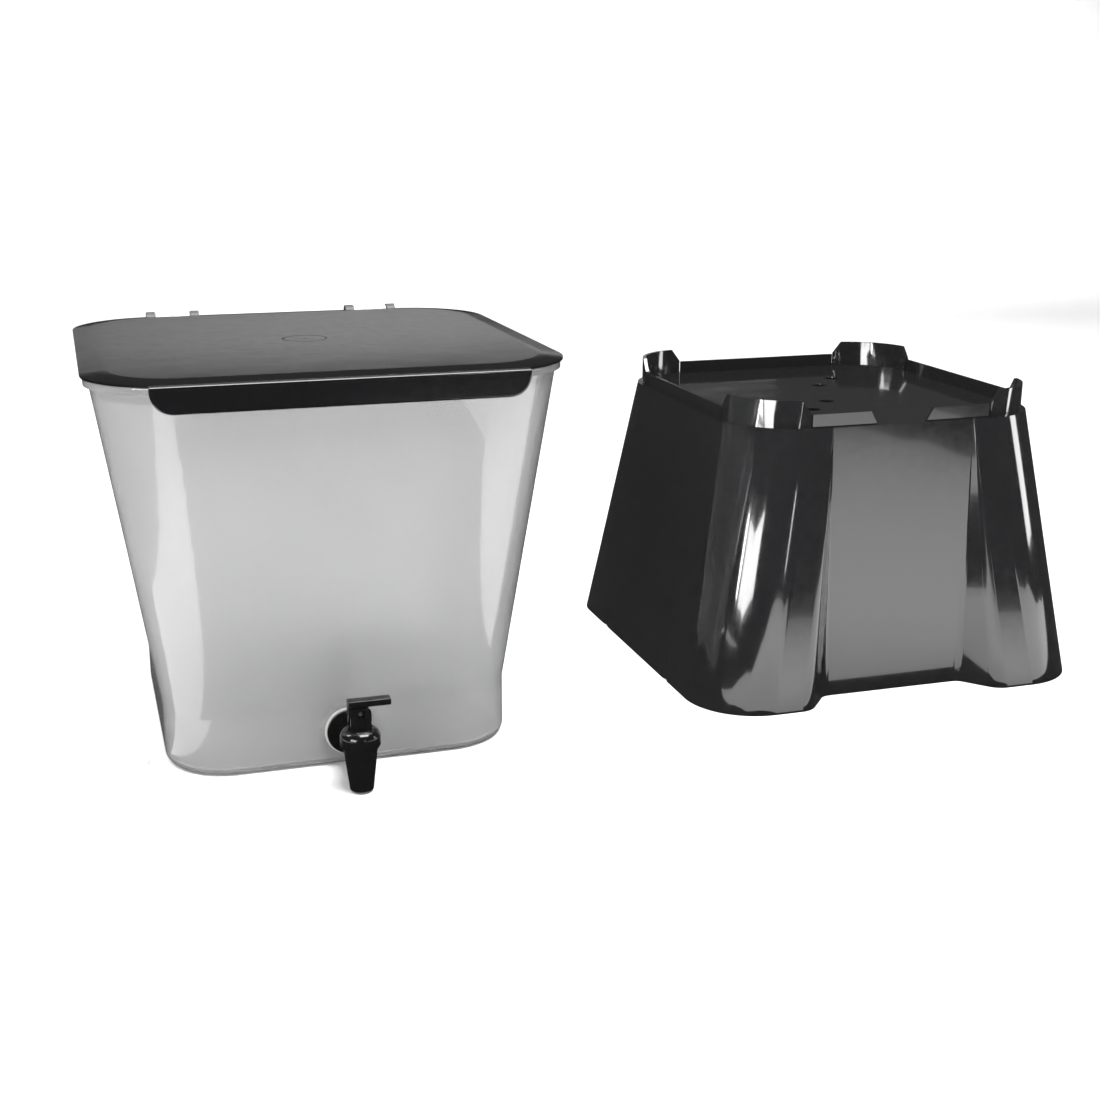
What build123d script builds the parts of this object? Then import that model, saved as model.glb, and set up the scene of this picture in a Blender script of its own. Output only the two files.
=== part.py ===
from build123d import *
import os

# Countertop drinks dispenser: a translucent tank with a hinged lid and a lever tap,
# and the hollow stand that the tank is lifted onto. Millimetres, +Z up, front is -Y.
# The origin is the middle of the tank's foot, on the surface it stands on.

PAST = 1.0                # how far a cut runs past the face it opens
SUNK = 0.5                # how far an added piece is sunk into what it joins

# ---------------------------------------------------------------- tank
TANK_H = 318.0            # surface to the top of the rim
FOOT_W = 281.0            # outside of the upright band at the foot
FOOT_D = 296.0
FOOT_R = 54.0             # plan radius of the band's corners
FOOT_BAND_H = 48.0        # height of the upright band that carries the tap
FOOT_EDGE_R = 7.0         # rounding under the foot
MOUTH_W = 358.0           # outside of the wall at the top
MOUTH_D = 374.0
MOUTH_R = 66.0
TANK_WALL = 3.0
TANK_FLOOR = 4.0
RIM_OUT = 3.0             # how far the rim stands out of the wall
RIM_H = 6.0

# ---------------------------------------------------------------- lid and hinge
LID_OVER = 2.0            # lid edge outside the tank's rim
LID_GAP = 0.2             # air between rim and closed lid
LID_T = 3.5               # thickness in the middle
LID_LIP_T = 1.7           # thickness at the outer edge
LID_BORDER = 17.0         # plan width of the border that slopes from one to the other
LID_BORDER_R = 60.0       # rounding where the border meets the flat top
SKIRT_H = 14.0            # plug skirt that hangs into the mouth
SKIRT_T = 2.0
SKIRT_CLEAR = 1.0
SKIRT_DROP = 2.0          # the skirt follows the wall this far below its own height
MARK_R = 18.5             # moulding ring in the middle of the lid
MARK_W = 1.0
MARK_DEPTH = 0.5
GRIP_W = 278.0            # finger grip along the front edge
GRIP_H = 18.4             # below the lid's underside
GRIP_PROUD = 6.0          # in front of the lid's edge
GRIP_T = 3.0
GRIP_LEDGE_T = 2.0
GRIP_CORNER_R = 16.0
GRIP_RIM_CLEAR = 1.0
HINGE_X = 93.0            # middle of each hinge
HINGE_BEHIND = 5.8        # hinge axis behind the lid's edge
HINGE_DROP = 0.8          # hinge axis below the top of the rim
EAR_R = 6.3
EAR_T = 8.0
EAR_ROOT = 3.0            # how far the ear reaches in over the lid's edge
EAR_GAP = 0.5             # between an ear and the tank's knuckle
KNUCKLE_L = 31.0
KNUCKLE_R = 5.0
KNUCKLE_LID_GAP = 1.2     # top of the knuckle's arm below the closed lid
HINGE_PIN_R = 2.0
PIN_CLEAR = 0.05          # radial, all hinge pins

# ---------------------------------------------------------------- tap
TAP_Z = 29.7              # height of the shank
TAP_OUT = 54.0            # outlet axis in front of the tank's band
BOSS_R = 20.5             # flat pad on the wall
BOSS_T = 1.5
SHANK_R = 9.0
SHANK_HOLE_CLEAR = 0.4
SHANK_L = 15.0            # shank inside the tank
THREAD_PITCH = 2.0
THREAD_DEPTH = 0.5
THREAD_TURNS = 6
THREAD_FIRST = 0.75        # turns left plain at the shank's end
WASHER_T = 2.0
FRONT_WASHER_R = 19.2
BACK_WASHER_R = 16.5
NUT_FLATS = 36.0          # across flats
NUT_T = 8.0
NUT_CLEAR = 0.1
FLANGE_R = 17.8
FLANGE_T = 3.5
ARM_R = 8.0               # tube between flange and barrel, below the bonnet
ARM_Z = 26.5
WATERWAY_R = 4.0
WATERWAY_Z = 27.5
OUTLET_Z = 2.0            # lowest point of the tap
OUTLET_R = 9.2            # outside, at the bottom
OUTLET_BORE_R = 6.3
BARREL_R = 13.4           # outside, where the bonnet starts
BARREL_Z = 36.5
SEAT_Z = 12.0
CHAMBER_R = 9.6
COLLAR_R = 12.0           # neck that the bonnet screws over
COLLAR_Z = 44.0
BONNET_CLEAR = 0.2
BONNET_GAP = 0.5          # bonnet skirt above the barrel
BONNET_R = 15.6
BONNET_SKIRT_R = 14.6
DOME_R = 10.5             # where the dome meets its flat top
BONNET_TOP_Z = 52.0
CROWN_T = 4.0
DOME_SHARE_R = 0.28       # middle of the dome's arc, as shares of its width and height
DOME_SHARE_Z = 0.66
GRIP_RIBS = 20
RIB_W = 2.0
SEAL_R = 0.92             # section radius of the bonnet's ring seal
SEAL_ROOM = 2.0
STEM_R = 2.5
STEM_CLEAR = 0.08
STEM_SEAL_R = 0.8
STEM_COLLAR_R = 7.0
STEM_COLLAR_T = 2.0
STEM_COLLAR_Z = 34.0      # top of the collar, where the spring sits
CUP_R = 8.6
CUP_GAP = 0.15            # seat cup to seat, closed
CUP_LIP = 0.8
CUP_SHOULDER_Z = 20.0
CUP_TOP_Z = 27.0
CUP_NECK_T = 1.9
STEM_FOOT_Z = 15.2
SPRING_R = 5.3
SPRING_WIRE_R = 0.45
SPRING_TURNS = 5
CHEEK_W = 16.0            # clevis on top of the bonnet
CHEEK_IN = 4.5            # inner face, from the outlet axis
CHEEK_T = 2.5
CHEEK_TOP_Z = 69.0
CHEEK_CORNER_R = 2.5
WINDOW_W = 5.2            # opening in the clevis that shows the lift pin
WINDOW_Z = 62.0
WINDOW_H = 5.6
PIVOT_X = -5.5
PIVOT_Z = 66.0
LEVER_PIN_R = 1.5
LEVER_LEFT = -9.0
LEVER_RIGHT = 24.0
LEVER_Z = 70.0
LEVER_T = 5.0
LEVER_W = 9.0
LEVER_EAR_IN = 2.4
LEVER_EAR_OUT = 4.2
LEVER_EAR_RIGHT = 3.4
LEVER_EAR_BOTTOM = 61.4
LIFT_PIN_R = 1.6          # pin in the lever's ears that lifts the stem
LIFT_PIN_Z = 64.5
LIFT_CLEAR = 0.25
EYE_W = 6.8               # flat eye on top of the stem
EYE_T = 4.0
EYE_SLOT_W = 4.0
EYE_BOTTOM = 54.5
EYE_ROOF_T = 1.4

# ---------------------------------------------------------------- stand
STAND_GAP = 128.0         # tank lid to stand foot, side by side
STAND_BACK = 40.0         # stand's middle behind the tank's middle
DECK_Z = 243.0
DECK_T = 3.0
STAND_WALL = 3.0
SEAT_CLEAR = 1.5          # tank foot to seat ring
SEAT_RING_T = 3.2
SHOULDER = 4.3            # ledge outside the seat ring
FLARE_X = 39.0            # how far the walls spread on the way down
FLARE_Y = 36.0
STAND_FOOT_R = 60.0
STRIP_H = 11.5            # seat ring between the corner lugs
LUG_H = 24.0
LUG_X = 86.7              # slot between strip and lug, front and back
LUG_Y = 93.6              # the same on the sides
LUG_SLOT = 1.8
LUG_SLOPE = 10.5
NOTCH_TOP_W = 62.0        # tap notch in the front strip
NOTCH_BOTTOM_W = 48.0
BAY_HALF_W = 68.0         # recessed front panel for a cup
BAY_SIDE = 25.0           # plan width of each slanted side of the bay, at the foot
BAY_DEPTH = 29.5          # panel behind the legs' fronts, at the foot
BAY_TOP_DEPTH = 0.4       # the same at the deck, where the flutes run out
BAY_OUT_R = 20.0          # rounding of a flute's outer corner, at the foot
BAY_IN_R = 11.0           # rounding of its inner corner, at the foot
BAY_TOP_R = 0.1           # both, at the deck
PLEAT_Y = 83.0            # shallow pleat low on each side, by each leg
PLEAT_W = 15.0
PLEAT_H = 32.0
PLEAT_DEPTH = 1.8
DRAIN_R = 7.0
DRAINS = ((-16.0, -40.0), (-47.0, -74.0), (16.0, 40.0), (47.0, 74.0))

# ---------------------------------------------------------------- worked out from the above
LID_W = MOUTH_W + 2 * (RIM_OUT + LID_OVER)
LID_D = MOUTH_D + 2 * (RIM_OUT + LID_OVER)
LID_R = MOUTH_R + RIM_OUT + LID_OVER
LID_Z = TANK_H + LID_GAP
LID_LIP_Z = LID_Z + LID_LIP_T
LID_TOP_Z = LID_Z + LID_T
HINGE_Y = LID_D / 2 + HINGE_BEHIND
HINGE_Z = TANK_H - HINGE_DROP
EAR_X = KNUCKLE_L / 2 + EAR_GAP + EAR_T / 2
BAND_Y = -FOOT_D / 2
TAP_Y = BAND_Y - TAP_OUT
BOSS_Y = BAND_Y - BOSS_T
FLANGE_Y = BOSS_Y - WASHER_T
INNER_WALL_Y = BAND_Y + TANK_WALL
NUT_Y = INNER_WALL_Y + WASHER_T
SHANK_Y = INNER_WALL_Y + SHANK_L
CROWN_Z = BONNET_TOP_Z - CROWN_T
BONNET_Z = BARREL_Z + BONNET_GAP
SEAL_LID_Z = COLLAR_Z + SEAL_ROOM
STEM_SEAL_MID_R = STEM_R + STEM_CLEAR + STEM_SEAL_R
STAND_W = FOOT_W + 2 * (SEAT_CLEAR + SEAT_RING_T + SHOULDER)
STAND_D = FOOT_D + 2 * (SEAT_CLEAR + SEAT_RING_T + SHOULDER)
STAND_R = FOOT_R + SEAT_CLEAR + SEAT_RING_T + SHOULDER
STAND_X = LID_W / 2 + STAND_GAP + STAND_W / 2 + FLARE_X
TAP_AXIS = Axis((0, TAP_Y, 0), (0, 0, 1))

os.makedirs("parts", exist_ok=True)


def save(name, part):
    """Label a finished piece and write it as a STEP file of the same name."""
    part.label = name
    export_step(part, f"parts/{name}.step")


def facing_front(y):
    """Plane across the object at depth y: local x is +X, local y is +Z, outwards is -Y."""
    return Plane.XZ.offset(-y)


def blend(low, high, share):
    return low + (high - low) * share


# ================================================================ tank
def tank_outline(z, inset):
    """Size and corner radius of the tank's wall at height z, moved in by inset."""
    share = max(0.0, (z - FOOT_BAND_H) / (TANK_H - FOOT_BAND_H))
    return (
        blend(FOOT_W, MOUTH_W, share) - 2 * inset,
        blend(FOOT_D, MOUTH_D, share) - 2 * inset,
        blend(FOOT_R, MOUTH_R, share) - inset,
    )


def tank_solid(bottom, top, inset):
    """The tank's outside, or its inside when inset by the wall."""
    with BuildPart() as solid:
        for z in (bottom, FOOT_BAND_H, top):
            with BuildSketch(Plane.XY.offset(z)):
                RectangleRounded(*tank_outline(z, inset))
        loft(ruled=True)
        fillet(solid.edges().group_by(Axis.Z)[0], FOOT_EDGE_R - inset)
    return solid.part


with BuildPart() as tank:
    add(tank_solid(0, TANK_H, 0))
    with BuildSketch(Plane.XY.offset(TANK_H - RIM_H)):
        RectangleRounded(MOUTH_W + 2 * RIM_OUT, MOUTH_D + 2 * RIM_OUT, MOUTH_R + RIM_OUT)
    extrude(amount=RIM_H)
    fillet(tank.edges().group_by(Axis.Z)[-1], RIM_OUT / 2)
    for side in (-1, 1):
        with BuildSketch(Plane.YZ.offset(side * HINGE_X - KNUCKLE_L / 2)):
            with Locations((HINGE_Y, HINGE_Z)):
                Circle(KNUCKLE_R)
            with BuildLine():
                Polyline(
                    (HINGE_Y, HINGE_Z - KNUCKLE_R),
                    (HINGE_Y, LID_Z - KNUCKLE_LID_GAP),
                    (MOUTH_D / 2, LID_Z - KNUCKLE_LID_GAP),
                    (MOUTH_D / 2, HINGE_Z - KNUCKLE_R),
                    close=True,
                )
            make_face()
        extrude(amount=KNUCKLE_L)
    with BuildSketch(facing_front(BAND_Y + TANK_WALL / 2)):
        with Locations((0, TAP_Z)):
            Circle(BOSS_R)
    extrude(amount=TANK_WALL / 2 + BOSS_T)
    add(tank_solid(TANK_FLOOR, TANK_H + PAST, TANK_WALL), mode=Mode.SUBTRACT)
    with BuildSketch(facing_front(INNER_WALL_Y + PAST)):
        with Locations((0, TAP_Z)):
            Circle(SHANK_R + SHANK_HOLE_CLEAR)
    extrude(amount=TANK_WALL + BOSS_T + 2 * PAST, mode=Mode.SUBTRACT)
    for side in (-1, 1):
        with BuildSketch(Plane.YZ.offset(side * HINGE_X - KNUCKLE_L / 2 - PAST)):
            with Locations((HINGE_Y, HINGE_Z)):
                Circle(HINGE_PIN_R + PIN_CLEAR)
        extrude(amount=KNUCKLE_L + 2 * PAST, mode=Mode.SUBTRACT)
save("tank", tank.part)


# ================================================================ lid
def skirt_solid(inset):
    """The plug skirt's outside, or its inside when inset by its thickness."""
    low = LID_Z - SKIRT_H
    with BuildPart() as solid:
        for z in (low, LID_Z + SUNK):
            with BuildSketch(Plane.XY.offset(z)):
                RectangleRounded(*tank_outline(z - SKIRT_DROP, TANK_WALL + SKIRT_CLEAR + inset))
        loft(ruled=True)
    return solid.part


with BuildPart() as lid:
    with BuildSketch(Plane.XY.offset(LID_Z)):
        RectangleRounded(LID_W, LID_D, LID_R)
    extrude(amount=LID_T)
    flat_top = lid.faces().sort_by(Axis.Z)[-1]
    chamfer(flat_top.edges(), LID_BORDER, LID_T - LID_LIP_T, reference=flat_top)
    fillet(lid.edges().group_by(Axis.Z)[-1], LID_BORDER_R)
    add(skirt_solid(0))
    add(skirt_solid(SKIRT_T), mode=Mode.SUBTRACT)
    with BuildSketch(Plane.XY.offset(LID_TOP_Z)):
        Circle(MARK_R)
        Circle(MARK_R - MARK_W, mode=Mode.SUBTRACT)
        Circle(MARK_W)
    extrude(amount=-MARK_DEPTH, mode=Mode.SUBTRACT)

    # finger grip: an apron with round lower corners, open behind and below
    grip_back = LID_D / 2 - LID_OVER + GRIP_RIM_CLEAR
    grip_front = LID_D / 2 + GRIP_PROUD
    grip_mid_z = LID_Z + (GRIP_LEDGE_T - GRIP_H) / 2
    with BuildSketch(facing_front(-grip_back)):
        with Locations((0, grip_mid_z)):
            apron = Rectangle(GRIP_W, GRIP_H + GRIP_LEDGE_T)
        fillet(apron.vertices().group_by(Axis.Y)[0], GRIP_CORNER_R)
    extrude(amount=grip_front - grip_back)
    with BuildSketch(facing_front(-grip_back + PAST)):
        with Locations((0, LID_Z - (GRIP_H + PAST) / 2)):
            Rectangle(GRIP_W - 2 * GRIP_T, GRIP_H + PAST)
    extrude(amount=grip_front - grip_back + PAST - GRIP_T, mode=Mode.SUBTRACT)
    front_edges = lid.edges().filter_by(lambda e: abs(e.center().Y + grip_front) < 0.01)
    fillet(front_edges, GRIP_T / 2)

    for side in (-1, 1):
        for step in (-1, 1):
            ear_x = side * HINGE_X + step * EAR_X
            with BuildSketch(Plane.YZ.offset(ear_x - EAR_T / 2)):
                with Locations((HINGE_Y, HINGE_Z)):
                    Circle(EAR_R)
                with BuildLine():
                    Polyline(
                        (LID_D / 2 - EAR_ROOT, LID_Z),
                        (HINGE_Y, LID_Z),
                        (HINGE_Y, HINGE_Z + EAR_R),
                        (LID_D / 2 - EAR_ROOT, LID_LIP_Z),
                        close=True,
                    )
                make_face()
                with Locations((HINGE_Y, HINGE_Z)):
                    Circle(HINGE_PIN_R + PIN_CLEAR, mode=Mode.SUBTRACT)
            extrude(amount=EAR_T)
save("lid", lid.part)

PIN_L = 2 * EAR_X + EAR_T
for side, name in ((-1, "hinge_pin_left"), (1, "hinge_pin_right")):
    with BuildPart() as hinge_pin:
        with BuildSketch(Plane.YZ.offset(side * HINGE_X - PIN_L / 2)):
            with Locations((HINGE_Y, HINGE_Z)):
                Circle(HINGE_PIN_R)
        extrude(amount=PIN_L)
        chamfer(hinge_pin.edges().filter_by(GeomType.CIRCLE), HINGE_PIN_R / 5)
    save(name, hinge_pin.part)

# ================================================================ tap, fixed pieces
with BuildPart() as tap_body:
    with BuildSketch(facing_front(TAP_Y)):
        with BuildLine():
            Polyline(
                (0, OUTLET_Z),
                (OUTLET_R, OUTLET_Z),
                (BARREL_R, BARREL_Z),
                (COLLAR_R, BARREL_Z),
                (COLLAR_R, COLLAR_Z),
                (0, COLLAR_Z),
                close=True,
            )
        make_face()
    revolve(axis=TAP_AXIS)
    for back_y, front_y, height, radius in (
        (SHANK_Y, FLANGE_Y, TAP_Z, SHANK_R),
        (FLANGE_Y, FLANGE_Y - FLANGE_T, TAP_Z, FLANGE_R),
        (FLANGE_Y, TAP_Y, ARM_Z, ARM_R),
    ):
        with BuildSketch(facing_front(back_y)):
            with Locations((0, height)):
                Circle(radius)
        extrude(amount=back_y - front_y)
    for turn in range(THREAD_TURNS):
        with BuildSketch(facing_front(SHANK_Y - (turn + THREAD_FIRST) * THREAD_PITCH)):
            with Locations((0, TAP_Z)):
                Circle(SHANK_R + PAST)
                Circle(SHANK_R - THREAD_DEPTH, mode=Mode.SUBTRACT)
        extrude(amount=THREAD_PITCH / 2, mode=Mode.SUBTRACT)
    with BuildSketch(facing_front(TAP_Y)):
        with BuildLine():
            Polyline(
                (0, OUTLET_Z - PAST),
                (OUTLET_BORE_R, OUTLET_Z - PAST),
                (OUTLET_BORE_R, SEAT_Z),
                (CHAMBER_R, SEAT_Z),
                (CHAMBER_R, COLLAR_Z + PAST),
                (0, COLLAR_Z + PAST),
                close=True,
            )
        make_face()
    revolve(axis=TAP_AXIS, mode=Mode.SUBTRACT)
    with BuildSketch(facing_front(SHANK_Y + PAST)):
        with Locations((0, WATERWAY_Z)):
            Circle(WATERWAY_R)
    extrude(amount=SHANK_Y + PAST - TAP_Y, mode=Mode.SUBTRACT)
save("tap_body", tap_body.part)

for name, back_y, outer_r in (
    ("tap_front_washer", BOSS_Y, FRONT_WASHER_R),
    ("tap_back_washer", NUT_Y, BACK_WASHER_R),
):
    with BuildPart() as washer:
        with BuildSketch(facing_front(back_y)):
            with Locations((0, TAP_Z)):
                Circle(outer_r)
                Circle(SHANK_R + NUT_CLEAR, mode=Mode.SUBTRACT)
        extrude(amount=WASHER_T)
    save(name, washer.part)

with BuildPart() as tap_nut:
    with BuildSketch(facing_front(NUT_Y + NUT_T)):
        with Locations((0, TAP_Z)):
            RegularPolygon(NUT_FLATS / 2, 6, major_radius=False)
            Circle(SHANK_R + NUT_CLEAR, mode=Mode.SUBTRACT)
    extrude(amount=NUT_T)
save("tap_nut", tap_nut.part)

with BuildPart() as tap_bonnet:
    with BuildSketch(facing_front(TAP_Y)):
        with BuildLine():
            dome = ThreePointArc(
                (BONNET_R, COLLAR_Z),
                (blend(BONNET_R, DOME_R, DOME_SHARE_R), blend(COLLAR_Z, BONNET_TOP_Z, DOME_SHARE_Z)),
                (DOME_R, BONNET_TOP_Z),
            )
            Polyline(
                dome @ 1,
                (0, BONNET_TOP_Z),
                (0, CROWN_Z),
                (CHAMBER_R, CROWN_Z),
                (CHAMBER_R, SEAL_LID_Z),
                (COLLAR_R + BONNET_CLEAR, SEAL_LID_Z),
                (COLLAR_R + BONNET_CLEAR, BONNET_Z),
                (BONNET_SKIRT_R, BONNET_Z),
                dome @ 0,
            )
        make_face()
    revolve(axis=TAP_AXIS)
    with BuildSketch(Plane((0, TAP_Y, BONNET_Z + RIB_W / 2))):
        with PolarLocations(BONNET_SKIRT_R, GRIP_RIBS):
            Rectangle(2 * (BONNET_R - BONNET_SKIRT_R), RIB_W)
    extrude(amount=COLLAR_Z - BONNET_Z - RIB_W)
    for back_y in (TAP_Y + CHEEK_IN + CHEEK_T, TAP_Y - CHEEK_IN):
        with BuildSketch(facing_front(back_y)):
            with Locations((0, (CROWN_Z + SUNK + CHEEK_TOP_Z) / 2)):
                cheek = Rectangle(CHEEK_W, CHEEK_TOP_Z - CROWN_Z - SUNK)
            fillet(cheek.vertices().group_by(Axis.Y)[-1], CHEEK_CORNER_R)
            with Locations((0, WINDOW_Z + WINDOW_H / 2)):
                Rectangle(WINDOW_W, WINDOW_H, mode=Mode.SUBTRACT)
            with Locations((PIVOT_X, PIVOT_Z)):
                Circle(LEVER_PIN_R + PIN_CLEAR, mode=Mode.SUBTRACT)
        extrude(amount=CHEEK_T)
    for bottom_z, height, radius in (
        (CROWN_Z, CROWN_T + PAST, STEM_R + STEM_CLEAR),
        (CROWN_Z, CROWN_T / 2, STEM_SEAL_MID_R + STEM_SEAL_R + STEM_CLEAR),
    ):
        with BuildSketch(Plane((0, TAP_Y, bottom_z))):
            Circle(radius)
        extrude(amount=height, mode=Mode.SUBTRACT)
save("tap_bonnet", tap_bonnet.part)

for name, ring_r, ring_z, section_r in (
    ("tap_bonnet_seal", (CHAMBER_R + COLLAR_R) / 2, (COLLAR_Z + SEAL_LID_Z) / 2, SEAL_R),
    ("tap_stem_seal", STEM_SEAL_MID_R, CROWN_Z + CROWN_T / 4, STEM_SEAL_R),
):
    with BuildPart() as seal:
        with BuildSketch(facing_front(TAP_Y)):
            with Locations((ring_r, ring_z)):
                Circle(section_r)
        revolve(axis=TAP_AXIS)
    save(name, seal.part)

# ================================================================ tap, moving pieces
with BuildPart() as tap_stem:
    with BuildSketch(facing_front(TAP_Y)):
        with BuildLine():
            Polyline(
                (0, STEM_FOOT_Z),
                (STEM_R, STEM_FOOT_Z),
                (STEM_R, STEM_COLLAR_Z - STEM_COLLAR_T),
                (STEM_COLLAR_R, STEM_COLLAR_Z - STEM_COLLAR_T),
                (STEM_COLLAR_R, STEM_COLLAR_Z),
                (STEM_R, STEM_COLLAR_Z),
                (STEM_R, EYE_BOTTOM + STEM_R),
                (0, EYE_BOTTOM + STEM_R),
                close=True,
            )
        make_face()
    revolve(axis=TAP_AXIS)
    slot_half = LIFT_PIN_R + LIFT_CLEAR
    eye_top = LIFT_PIN_Z + slot_half + EYE_ROOF_T
    with BuildSketch(facing_front(TAP_Y + EYE_T / 2)):
        with Locations((0, (EYE_BOTTOM + eye_top) / 2)):
            eye = Rectangle(EYE_W, eye_top - EYE_BOTTOM)
        fillet(eye.vertices(), EYE_W / 8)
        with Locations((0, LIFT_PIN_Z)):
            Rectangle(EYE_SLOT_W, 2 * slot_half, mode=Mode.SUBTRACT)
    extrude(amount=EYE_T)
save("tap_stem", tap_stem.part)

with BuildPart() as tap_seat_cup:
    with BuildSketch(facing_front(TAP_Y)):
        with BuildLine():
            Polyline(
                (0, SEAT_Z + CUP_GAP),
                (CUP_R - CUP_LIP, SEAT_Z + CUP_GAP),
                (CUP_R, SEAT_Z + CUP_GAP + 2 * CUP_LIP),
                (CUP_R, CUP_SHOULDER_Z),
                (STEM_R + CUP_NECK_T, CUP_TOP_Z - CUP_NECK_T),
                (STEM_R + CUP_NECK_T, CUP_TOP_Z),
                (STEM_R + PIN_CLEAR, CUP_TOP_Z),
                (STEM_R + PIN_CLEAR, STEM_FOOT_Z - CUP_GAP),
                (0, STEM_FOOT_Z - CUP_GAP),
                close=True,
            )
        make_face()
    revolve(axis=TAP_AXIS)
save("tap_seat_cup", tap_seat_cup.part)

with BuildPart() as tap_spring:
    coil_low = STEM_COLLAR_Z + SPRING_WIRE_R
    coil_rise = CROWN_Z - STEM_COLLAR_Z - 2 * SPRING_WIRE_R
    with BuildLine():
        coil = Helix(coil_rise / SPRING_TURNS, coil_rise, SPRING_R, center=(0, TAP_Y, coil_low))
    with BuildSketch(Plane(origin=coil @ 0, z_dir=coil % 0)):
        Circle(SPRING_WIRE_R)
    sweep(is_frenet=True)
save("tap_spring", tap_spring.part)

with BuildPart() as tap_lever:
    with BuildSketch(Plane((0, TAP_Y, LEVER_Z))):
        with Locations(((LEVER_LEFT + LEVER_RIGHT) / 2, 0)):
            Rectangle(LEVER_RIGHT - LEVER_LEFT, LEVER_W)
    extrude(amount=LEVER_T)
    fillet(tap_lever.edges().group_by(Axis.Z)[-1], LEVER_T / 8)
    for back_y in (TAP_Y + LEVER_EAR_OUT, TAP_Y - LEVER_EAR_IN):
        with BuildSketch(facing_front(back_y)):
            with Locations(((LEVER_LEFT + LEVER_EAR_RIGHT) / 2, (LEVER_EAR_BOTTOM + LEVER_Z) / 2)):
                ear = Rectangle(LEVER_EAR_RIGHT - LEVER_LEFT, LEVER_Z - LEVER_EAR_BOTTOM)
            fillet(ear.vertices().group_by(Axis.Y)[0], LEVER_EAR_RIGHT / 2)
            with Locations((PIVOT_X, PIVOT_Z)):
                Circle(LEVER_PIN_R + PIN_CLEAR, mode=Mode.SUBTRACT)
            with Locations((0, LIFT_PIN_Z)):
                Circle(LIFT_PIN_R + PIN_CLEAR, mode=Mode.SUBTRACT)
        extrude(amount=LEVER_EAR_OUT - LEVER_EAR_IN)
save("tap_lever", tap_lever.part)

for name, place, radius, half_length in (
    ("tap_lever_pin", (PIVOT_X, PIVOT_Z), LEVER_PIN_R, CHEEK_IN + CHEEK_T),
    ("tap_lift_pin", (0, LIFT_PIN_Z), LIFT_PIN_R, LEVER_EAR_OUT),
):
    with BuildPart() as cross_pin:
        with BuildSketch(facing_front(TAP_Y + half_length)):
            with Locations(place):
                Circle(radius)
        extrude(amount=2 * half_length)
    save(name, cross_pin.part)


# ================================================================ stand
def stand_level(z):
    return Plane((STAND_X, STAND_BACK, z))


def stand_outline(z, inset):
    """Size and corner radius of the stand's wall at height z, moved in by inset."""
    share = z / DECK_Z
    return (
        blend(STAND_W + 2 * FLARE_X, STAND_W, share) - 2 * inset,
        blend(STAND_D + 2 * FLARE_Y, STAND_D, share) - 2 * inset,
        blend(STAND_FOOT_R, STAND_R, share) - inset,
    )


def bay_outline(z, inset):
    """Corners of the cup bay's plan at height z, in front of the recessed panel."""
    outer_y = stand_outline(z, 0)[1] / 2
    panel_y = outer_y - blend(BAY_DEPTH, BAY_TOP_DEPTH, z / DECK_Z) - inset
    outside_y = outer_y + PAST
    spread = BAY_SIDE * (outside_y - panel_y) / BAY_DEPTH
    half_w = BAY_HALF_W + inset
    return (
        (-half_w, -panel_y),
        (half_w, -panel_y),
        (half_w + spread, -outside_y),
        (-half_w - spread, -outside_y),
    )


def stand_solid(bottom, top, inset):
    """The stand's outside with its cup bay, or its inside when inset by the wall."""
    with BuildPart() as solid:
        for z in (bottom, top):
            share = z / DECK_Z
            with BuildSketch(stand_level(z)) as section:
                RectangleRounded(*stand_outline(z, inset))
                with BuildLine():
                    Polyline(*bay_outline(z, inset), close=True)
                make_face(mode=Mode.SUBTRACT)
                front_row = section.vertices().group_by(Axis.Y)[0].sort_by(lambda v: abs(v.X))
                fillet(front_row[:2], blend(BAY_OUT_R, BAY_TOP_R, share) * (1 - inset / BAY_OUT_R))
                front_half = section.vertices().filter_by(lambda v: v.Y < 0).sort_by(lambda v: abs(v.X))
                fillet(front_half[:2], blend(BAY_IN_R, BAY_TOP_R, share) * (1 + inset / BAY_IN_R))
        loft(ruled=True)
    return solid.part


def above_strip(half_w):
    """Trapezoid that leaves the strip low between the slanted shoulders of two lugs."""
    low, high = DECK_Z + STRIP_H, DECK_Z + LUG_H + PAST
    wide = half_w + LUG_SLOPE
    return ((-half_w, low), (half_w, low), (wide, high), (-wide, high))


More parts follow.
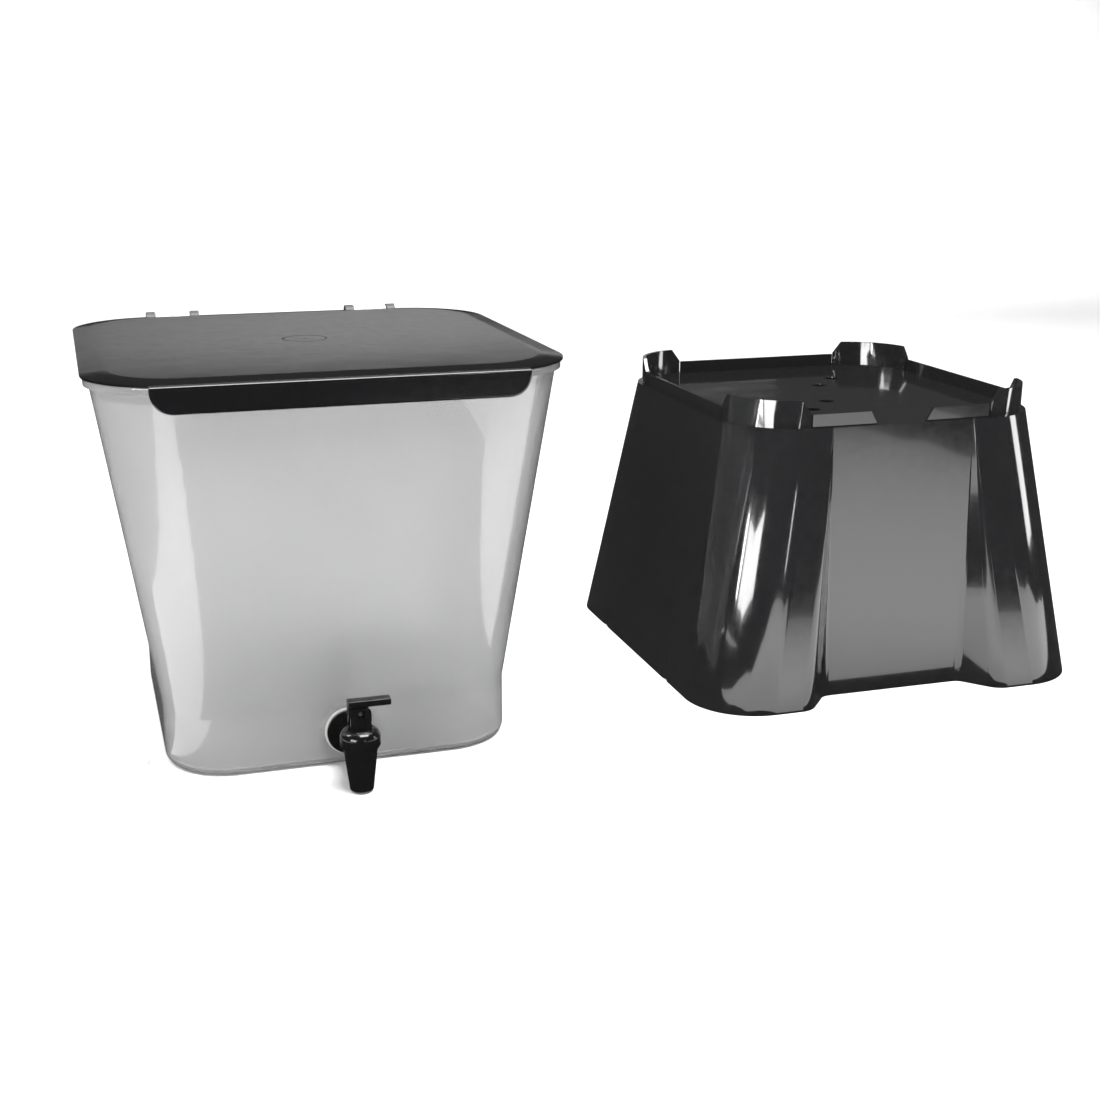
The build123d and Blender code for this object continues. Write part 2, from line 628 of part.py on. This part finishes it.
with BuildPart() as seat_ring:
    with BuildSketch(stand_level(DECK_Z - DECK_T / 2)):
        for inset in (0, SEAT_RING_T):
            RectangleRounded(
                STAND_W - 2 * (SHOULDER + inset),
                STAND_D - 2 * (SHOULDER + inset),
                STAND_R - SHOULDER - inset,
                mode=Mode.SUBTRACT if inset else Mode.ADD,
            )
    extrude(amount=LUG_H + DECK_T / 2)
    with BuildSketch(Plane.XZ.offset(-STAND_BACK).shift_origin((STAND_X, STAND_BACK, 0))):
        with BuildLine():
            Polyline(*above_strip(LUG_X), close=True)
        make_face()
    extrude(amount=STAND_D, both=True, mode=Mode.SUBTRACT)
    with BuildSketch(Plane.YZ.offset(STAND_X).shift_origin((STAND_X, STAND_BACK, 0))):
        with BuildLine():
            Polyline(*above_strip(LUG_Y), close=True)
        make_face()
    extrude(amount=STAND_W, both=True, mode=Mode.SUBTRACT)
    with BuildSketch(stand_level(DECK_Z)):
        for side in (-1, 1):
            with Locations((side * LUG_X, 0)):
                Rectangle(LUG_SLOT, STAND_D)
            with Locations((0, side * LUG_Y)):
                Rectangle(STAND_W, LUG_SLOT)
    extrude(amount=LUG_H, mode=Mode.SUBTRACT)
    with BuildSketch(Plane.XZ.offset(-STAND_BACK).shift_origin((STAND_X, STAND_BACK, 0))):
        with BuildLine():
            Polyline(
                (-NOTCH_BOTTOM_W / 2, DECK_Z),
                (NOTCH_BOTTOM_W / 2, DECK_Z),
                (NOTCH_TOP_W / 2, DECK_Z + STRIP_H + PAST),
                (-NOTCH_TOP_W / 2, DECK_Z + STRIP_H + PAST),
                close=True,
            )
        make_face()
    extrude(amount=STAND_D, mode=Mode.SUBTRACT)

with BuildPart() as stand:
    add(stand_solid(0, DECK_Z, 0))
    add(stand_solid(-PAST, DECK_Z - DECK_T, STAND_WALL), mode=Mode.SUBTRACT)
    add(seat_ring.part)
    with BuildSketch(stand_level(DECK_Z + PAST)):
        with Locations(*DRAINS):
            Circle(DRAIN_R)
    extrude(amount=-DECK_T - 2 * PAST, mode=Mode.SUBTRACT)
    # pleats: shallow V grooves low on the side walls that fade out upwards
    for side in (-1, 1):
        for end in (-1, 1):
            for z in (-PAST, PLEAT_H):
                wall_x = stand_outline(z, 0)[0] / 2
                share = 1 - z / PLEAT_H
                with BuildSketch(stand_level(z)):
                    with BuildLine():
                        Polyline(
                            (side * (wall_x - PLEAT_DEPTH * share), end * PLEAT_Y),
                            (side * (wall_x + PAST), end * PLEAT_Y - PLEAT_W / 2),
                            (side * (wall_x + PAST), end * PLEAT_Y + PLEAT_W / 2),
                            close=True,
                        )
                    make_face()
            loft(ruled=True, mode=Mode.SUBTRACT)
save("stand", stand.part)
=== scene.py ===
import math

import bpy
from mathutils import Matrix, Vector


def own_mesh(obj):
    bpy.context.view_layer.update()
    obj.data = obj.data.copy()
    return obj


# A countertop drinks dispenser: a translucent tank with a hinged lid and a lever tap,
# beside the glossy hollow stand that it is lifted onto. Metres, +Z up, front is -Y.

MM = 0.001

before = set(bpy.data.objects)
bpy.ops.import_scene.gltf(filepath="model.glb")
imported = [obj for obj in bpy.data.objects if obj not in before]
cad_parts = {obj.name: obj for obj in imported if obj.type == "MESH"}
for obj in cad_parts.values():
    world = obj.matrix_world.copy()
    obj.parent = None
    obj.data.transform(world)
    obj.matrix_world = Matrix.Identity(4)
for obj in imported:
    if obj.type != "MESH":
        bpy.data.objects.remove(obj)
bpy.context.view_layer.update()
bpy.ops.object.select_all(action="DESELECT")


# ---------------------------------------------------------------- small helpers
def linear(hex_colour):
    """A scene-linear RGBA colour from an sRGB hex value such as 'c2c1bf'."""
    parts = [int(hex_colour[i:i + 2], 16) / 255 for i in (0, 2, 4)]
    return [p / 12.92 if p <= 0.04045 else ((p + 0.055) / 1.055) ** 2.4 for p in parts] + [1.0]


def add_node(tree, kind, inputs=None, **settings):
    """Adds a node with its settings, its input values and its links."""
    made = tree.nodes.new(kind)
    for name, value in settings.items():
        setattr(made, name, value)
    for name, value in (inputs or {}).items():
        if isinstance(value, bpy.types.NodeSocket):
            tree.links.new(value, made.inputs[name])
        else:
            made.inputs[name].default_value = value
    return made


def pattern_scale(size_mm):
    """A texture node's scale for features about size_mm across, on Object coordinates."""
    return 1 / (size_mm * MM)


def new_material(name):
    """An empty material: its node tree, its output node and its Object coordinates."""
    material = bpy.data.materials.new(name)
    material.use_nodes = True
    tree = material.node_tree
    tree.nodes.clear()
    output = tree.nodes.new("ShaderNodeOutputMaterial")
    place = tree.nodes.new("ShaderNodeTexCoord").outputs["Object"]
    return material, tree, output, place


# ---------------------------------------------------------------- materials
def natural_polypropylene():
    """Blow-moulded natural polypropylene: milky, lets light through softly, a satin skin
    with a faint orange peel and slow cloudy changes where the wall is thicker."""
    material, tree, output, place = new_material("natural_polypropylene")
    cloud = add_node(tree, "ShaderNodeTexNoise",
                     {"Vector": place, "Scale": pattern_scale(90), "Detail": 2.0, "Roughness": 0.5})
    tone = add_node(tree, "ShaderNodeMix", {"Factor": cloud.outputs["Fac"]}, data_type="RGBA")
    tone.inputs["A"].default_value = linear("c3c3c3")
    tone.inputs["B"].default_value = linear("cccccc")
    satin = add_node(tree, "ShaderNodeMapRange",
                     {"Value": cloud.outputs["Fac"], "To Min": 0.19, "To Max": 0.24})
    peel = add_node(tree, "ShaderNodeTexNoise",
                    {"Vector": place, "Scale": pattern_scale(3.5), "Detail": 2.0})
    bump = add_node(tree, "ShaderNodeBump",
                    {"Height": peel.outputs["Fac"], "Strength": 0.12, "Distance": 0.15 * MM})
    shader = add_node(tree, "ShaderNodeBsdfPrincipled", {
        "Base Color": tone.outputs["Result"],
        "Roughness": satin.outputs["Result"],
        "Normal": bump.outputs["Normal"],
        "IOR": 1.49,
        "Transmission Weight": 0.72,
        "Coat Weight": 0.8,
        "Coat Roughness": 0.03,
    })
    tree.links.new(shader.outputs["BSDF"], output.inputs["Surface"])
    return material


def gloss_black_polystyrene(name, waviness, coat, roughest, darkest, lightest):
    """Injection-moulded high-impact polystyrene, polished tool: deep black with a wet gloss,
    slightly wavy reflections and a thin haze of dust and handling."""
    material, tree, output, place = new_material(name)
    sink = add_node(tree, "ShaderNodeTexNoise",
                    {"Vector": place, "Scale": pattern_scale(70), "Detail": 1.0})
    haze = add_node(tree, "ShaderNodeTexNoise",
                    {"Vector": place, "Scale": pattern_scale(9), "Detail": 5.0, "Roughness": 0.65})
    rough = add_node(tree, "ShaderNodeMapRange",
                     {"Value": haze.outputs["Fac"], "From Min": 0.35, "From Max": 0.75,
                      "To Min": 0.09, "To Max": roughest})
    tone = add_node(tree, "ShaderNodeMix", {"Factor": haze.outputs["Fac"]}, data_type="RGBA")
    tone.inputs["A"].default_value = linear(darkest)
    tone.inputs["B"].default_value = linear(lightest)
    bump = add_node(tree, "ShaderNodeBump",
                    {"Height": sink.outputs["Fac"], "Strength": waviness, "Distance": 1.2 * MM})
    shader = add_node(tree, "ShaderNodeBsdfPrincipled", {
        "Base Color": tone.outputs["Result"],
        "Roughness": rough.outputs["Result"],
        "Normal": bump.outputs["Normal"],
        "IOR": 1.57,
        "Coat Weight": coat,
        "Coat Roughness": 0.04,
        "Coat Normal": bump.outputs["Normal"],
    })
    tree.links.new(shader.outputs["BSDF"], output.inputs["Surface"])
    return material


def black_acetal():
    """Moulded black acetal of the tap: glossy, with a fine grain left by the tool. The grain is
    drawn at 0.8 mm, coarser than the real 0.1 mm or so, so that it shows."""
    material, tree, output, place = new_material("black_acetal")
    grain = add_node(tree, "ShaderNodeTexNoise",
                     {"Vector": place, "Scale": pattern_scale(0.8), "Detail": 3.0})
    rough = add_node(tree, "ShaderNodeMapRange",
                     {"Value": grain.outputs["Fac"], "To Min": 0.10, "To Max": 0.20})
    bump = add_node(tree, "ShaderNodeBump",
                    {"Height": grain.outputs["Fac"], "Strength": 0.15, "Distance": 0.05 * MM})
    shader = add_node(tree, "ShaderNodeBsdfPrincipled", {
        "Base Color": linear("0d0d0e"),
        "Roughness": rough.outputs["Result"],
        "Normal": bump.outputs["Normal"],
        "IOR": 1.48,
    })
    tree.links.new(shader.outputs["BSDF"], output.inputs["Surface"])
    return material


def moulded_rubber(name, colour, transmission):
    """Compression-moulded rubber: waxy, with a soft sheen; silicone is half clear, nitrile is black."""
    material, tree, output, place = new_material(name)
    bloom = add_node(tree, "ShaderNodeTexNoise",
                     {"Vector": place, "Scale": pattern_scale(2.5), "Detail": 3.0})
    rough = add_node(tree, "ShaderNodeMapRange",
                     {"Value": bloom.outputs["Fac"], "To Min": 0.38, "To Max": 0.55})
    shader = add_node(tree, "ShaderNodeBsdfPrincipled", {
        "Base Color": linear(colour),
        "Roughness": rough.outputs["Result"],
        "IOR": 1.41,
        "Transmission Weight": transmission,
    })
    tree.links.new(shader.outputs["BSDF"], output.inputs["Surface"])
    return material


def natural_nylon():
    """Moulded natural nylon of the nut: off-white and satin."""
    material, tree, output, place = new_material("natural_nylon")
    grain = add_node(tree, "ShaderNodeTexNoise",
                     {"Vector": place, "Scale": pattern_scale(1.5), "Detail": 3.0})
    rough = add_node(tree, "ShaderNodeMapRange",
                     {"Value": grain.outputs["Fac"], "To Min": 0.35, "To Max": 0.5})
    shader = add_node(tree, "ShaderNodeBsdfPrincipled", {
        "Base Color": linear("d9d7d0"),
        "Roughness": rough.outputs["Result"],
        "IOR": 1.53,
    })
    tree.links.new(shader.outputs["BSDF"], output.inputs["Surface"])
    return material


def stainless_wire():
    """Drawn stainless steel: bright, with an uneven sheen from the die. The marks are drawn at
    0.4 mm, coarser than real ones, so that they show."""
    material, tree, output, place = new_material("stainless_wire")
    lines = add_node(tree, "ShaderNodeTexNoise",
                     {"Vector": place, "Scale": pattern_scale(0.4), "Detail": 2.0})
    rough = add_node(tree, "ShaderNodeMapRange",
                     {"Value": lines.outputs["Fac"], "To Min": 0.22, "To Max": 0.36})
    shader = add_node(tree, "ShaderNodeBsdfPrincipled", {
        "Base Color": linear("c8c6c2"),
        "Metallic": 1.0,
        "Roughness": rough.outputs["Result"],
    })
    tree.links.new(shader.outputs["BSDF"], output.inputs["Surface"])
    return material


def studio_paint(name, colour):
    """Matt emulsion of the studio floor, its sweep and the card, with a faint roller stipple."""
    material, tree, output, place = new_material(name)
    stipple = add_node(tree, "ShaderNodeTexNoise",
                       {"Vector": place, "Scale": pattern_scale(4), "Detail": 2.0})
    bump = add_node(tree, "ShaderNodeBump",
                    {"Height": stipple.outputs["Fac"], "Strength": 0.03, "Distance": 0.1 * MM})
    shader = add_node(tree, "ShaderNodeBsdfPrincipled", {
        "Base Color": linear(colour),
        "Roughness": 0.7,
        "Specular IOR Level": 0.2,
        "Normal": bump.outputs["Normal"],
    })
    tree.links.new(shader.outputs["BSDF"], output.inputs["Surface"])
    return material


tank_plastic = natural_polypropylene()
lid_plastic = gloss_black_polystyrene(
    "gloss_black_polystyrene_lid",
    waviness=0.06, coat=0.0, roughest=0.12, darkest="0a0a0b", lightest="121213")
stand_plastic = gloss_black_polystyrene(
    "gloss_black_polystyrene_stand",
    waviness=0.2, coat=0.7, roughest=0.16, darkest="131314", lightest="1d1d1e")
tap_plastic = black_acetal()
silicone = moulded_rubber("clear_silicone", "d8d8d4", 0.4)
nitrile = moulded_rubber("black_nitrile", "1a1a1a", 0.0)
nylon = natural_nylon()
steel = stainless_wire()

DRESSED_IN = (
    (tank_plastic, ("tank",)),
    (lid_plastic, ("lid", "hinge_pin_left", "hinge_pin_right")),
    (stand_plastic, ("stand",)),
    (tap_plastic, ("tap_body", "tap_bonnet", "tap_lever", "tap_stem", "tap_lever_pin")),
    (silicone, ("tap_front_washer", "tap_back_washer", "tap_seat_cup")),
    (nitrile, ("tap_bonnet_seal", "tap_stem_seal")),
    (nylon, ("tap_nut",)),
    (steel, ("tap_spring", "tap_lift_pin")),
)
for material, parts in DRESSED_IN:
    for part in parts:
        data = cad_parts[part].data
        data.materials.clear()
        data.materials.append(material)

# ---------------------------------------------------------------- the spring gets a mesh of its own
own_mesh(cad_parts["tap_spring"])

# ---------------------------------------------------------------- soft edges on the carried-over nodes
EDGE_ROUND_MM = {
    "stand": 1.2, "tap_body": 0.35, "tap_bonnet": 0.25, "tap_lever": 0.5,
    "tap_stem": 0.3, "tap_nut": 0.5, "tap_front_washer": 0.3, "tap_back_washer": 0.3,
}
SHARP_FROM = math.radians(32)
for part, width_mm in EDGE_ROUND_MM.items():
    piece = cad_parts[part]
    weld = piece.modifiers.new("weld", "WELD")
    weld.merge_threshold = 0.01 * MM
    bevel = piece.modifiers.new("round_edges", "BEVEL")
    bevel.width = width_mm * MM
    bevel.segments = 3
    bevel.limit_method = "ANGLE"
    bevel.angle_limit = SHARP_FROM
    bevel.use_clamp_overlap = True
    bevel.harden_normals = True


# ---------------------------------------------------------------- studio, metres and watts
SWEEP_SIZE = 9.0
SWEEP_RISE = 2.02
SWEEP_BEND = 2.0
CAMERA_PLACE = (-0.1939, -1.3122, 0.5097)
CAMERA_YAW = 0.295        # radians to the right of the row's +Y
CAMERA_PITCH = 0.286      # radians downwards
WORLD_STRENGTH = 0.04
CARDS = (                 # name, place, turn, width, height, colour
    ("pale_card_behind", (1.25, 5.6, 1.02), (90, 0, 0), 3.7, 0.45, "dcdcdc"),
    ("white_card_right", (0.75, -0.88, 0.001), (0, 0, 0), 1.0, 1.44, "f6f6f6"),
    ("white_card_left", (-0.345, -0.37, 0.001), (0, 0, -12), 0.26, 0.62, "f6f6f6"),
)
SOFTBOXES = (             # name, place, aim, width, height, watts
    ("overhead_softbox", (0.5, 0.9, 2.4), (0.5, 0.9, 0), 3.4, 2.4, 104),
    ("left_fill", (-1.5, 0.5, 1.7), (-0.4, 0.1, 0), 0.9, 0.9, 34),
    ("tank_softbox", (-1.5, -1.7, 0.5), (0, 0, 0.1), 0.9, 0.7, 26),
    ("floor_softbox", (0.45, -0.75, 1.7), (0.45, -0.75, 0), 1.2, 0.8, 60),
    ("backdrop_softbox", (0.8, 3.36, 1.3), (1.0, 4.4, 0.5), 5.0, 0.4, 90),
    ("card_softbox", (1.25, 4.9, 2.3), (1.25, 5.6, 1.0), 3.0, 0.5, 38),
    ("left_strip", (-2.0, -1.3, 0.55), (0.2, 0, 0.15), 0.10, 0.7, 9),
    ("front_strip", (0.75, -2.7, 0.50), (0.5, 0, 0.1), 0.08, 0.7, 2),
    ("right_strip", (2.3, -0.6, 0.5), (0.5, 0, 0.1), 0.3, 0.7, 5),
)


def studio_sweep():
    """A floor that curves up behind into a plain backdrop. Gloss doesn't mirror it, so that
    black stays deep: gloss mirrors the cards and the softboxes instead."""
    bpy.ops.mesh.primitive_plane_add(size=SWEEP_SIZE, location=(0.2, 0.0, 0.0))
    sweep = bpy.context.object
    sweep.name = "studio_sweep"
    bpy.ops.object.mode_set(mode="EDIT")
    bpy.ops.mesh.select_mode(type="EDGE")
    bpy.ops.mesh.select_all(action="DESELECT")
    bpy.ops.object.mode_set(mode="OBJECT")
    for edge in sweep.data.edges:
        ends = [sweep.data.vertices[i].co.y for i in edge.vertices]
        edge.select = min(ends) > SWEEP_SIZE / 2 - MM
    bpy.ops.object.mode_set(mode="EDIT")
    bpy.ops.mesh.extrude_region_move(TRANSFORM_OT_translate={"value": (0, 0, SWEEP_RISE)})
    bpy.ops.object.mode_set(mode="OBJECT")
    bend = sweep.modifiers.new("bend", "BEVEL")
    bend.width = SWEEP_BEND
    bend.segments = 16
    bpy.ops.object.modifier_apply(modifier="bend")
    bpy.ops.object.shade_smooth()
    sweep.data.materials.append(studio_paint("matt_white_emulsion", "f6f6f6"))
    sweep.visible_glossy = False


def studio_card(name, place, turn, width, height, colour):
    """A flat paper card at place, turned by degrees about X, Y and Z, for the gloss to mirror."""
    bpy.ops.mesh.primitive_plane_add(size=1.0, location=place, rotation=[math.radians(t) for t in turn])
    card = bpy.context.object
    card.name = name
    card.scale = (width, height, 1.0)
    bpy.ops.object.transform_apply(location=True, rotation=True, scale=True)
    card.data.materials.append(studio_paint("matt_" + name, colour))


def softbox(name, place, aim, width, height, watts):
    """A rectangular area light at place, turned towards aim."""
    lamp = bpy.data.lights.new(name, "AREA")
    lamp.shape = "RECTANGLE"
    lamp.size = width
    lamp.size_y = height
    lamp.energy = watts
    box = bpy.data.objects.new(name, lamp)
    bpy.context.scene.collection.objects.link(box)
    box.location = place
    box.rotation_euler = (Vector(aim) - Vector(place)).to_track_quat("-Z", "Y").to_euler()


def studio_camera():
    """Camera a little above the lid, in front and to the left, turned to the right."""
    right = Vector((math.cos(CAMERA_YAW), -math.sin(CAMERA_YAW), 0))
    level = Vector((math.sin(CAMERA_YAW), math.cos(CAMERA_YAW), 0)) * math.cos(CAMERA_PITCH)
    ahead = level + Vector((0, 0, -math.sin(CAMERA_PITCH)))
    upward = right.cross(ahead)
    data = bpy.data.cameras.new("studio_camera")
    data.sensor_width = 36.0
    data.lens = 51.51
    data.shift_x = 0.0094
    data.shift_y = 0.0145
    data.clip_end = 50
    camera = bpy.data.objects.new("studio_camera", data)
    bpy.context.scene.collection.objects.link(camera)
    turn = Matrix((right, upward, -ahead)).transposed().to_4x4()
    camera.matrix_world = Matrix.Translation(CAMERA_PLACE) @ turn
    bpy.context.scene.camera = camera


studio_sweep()
for card in CARDS:
    studio_card(*card)
for lamp in SOFTBOXES:
    softbox(*lamp)

world = bpy.data.worlds.new("studio_world")
world.use_nodes = True
world.node_tree.nodes["Background"].inputs["Color"].default_value = (1, 1, 1, 1)
world.node_tree.nodes["Background"].inputs["Strength"].default_value = WORLD_STRENGTH
bpy.context.scene.world = world
bpy.context.scene.view_settings.view_transform = "Standard"
studio_camera()
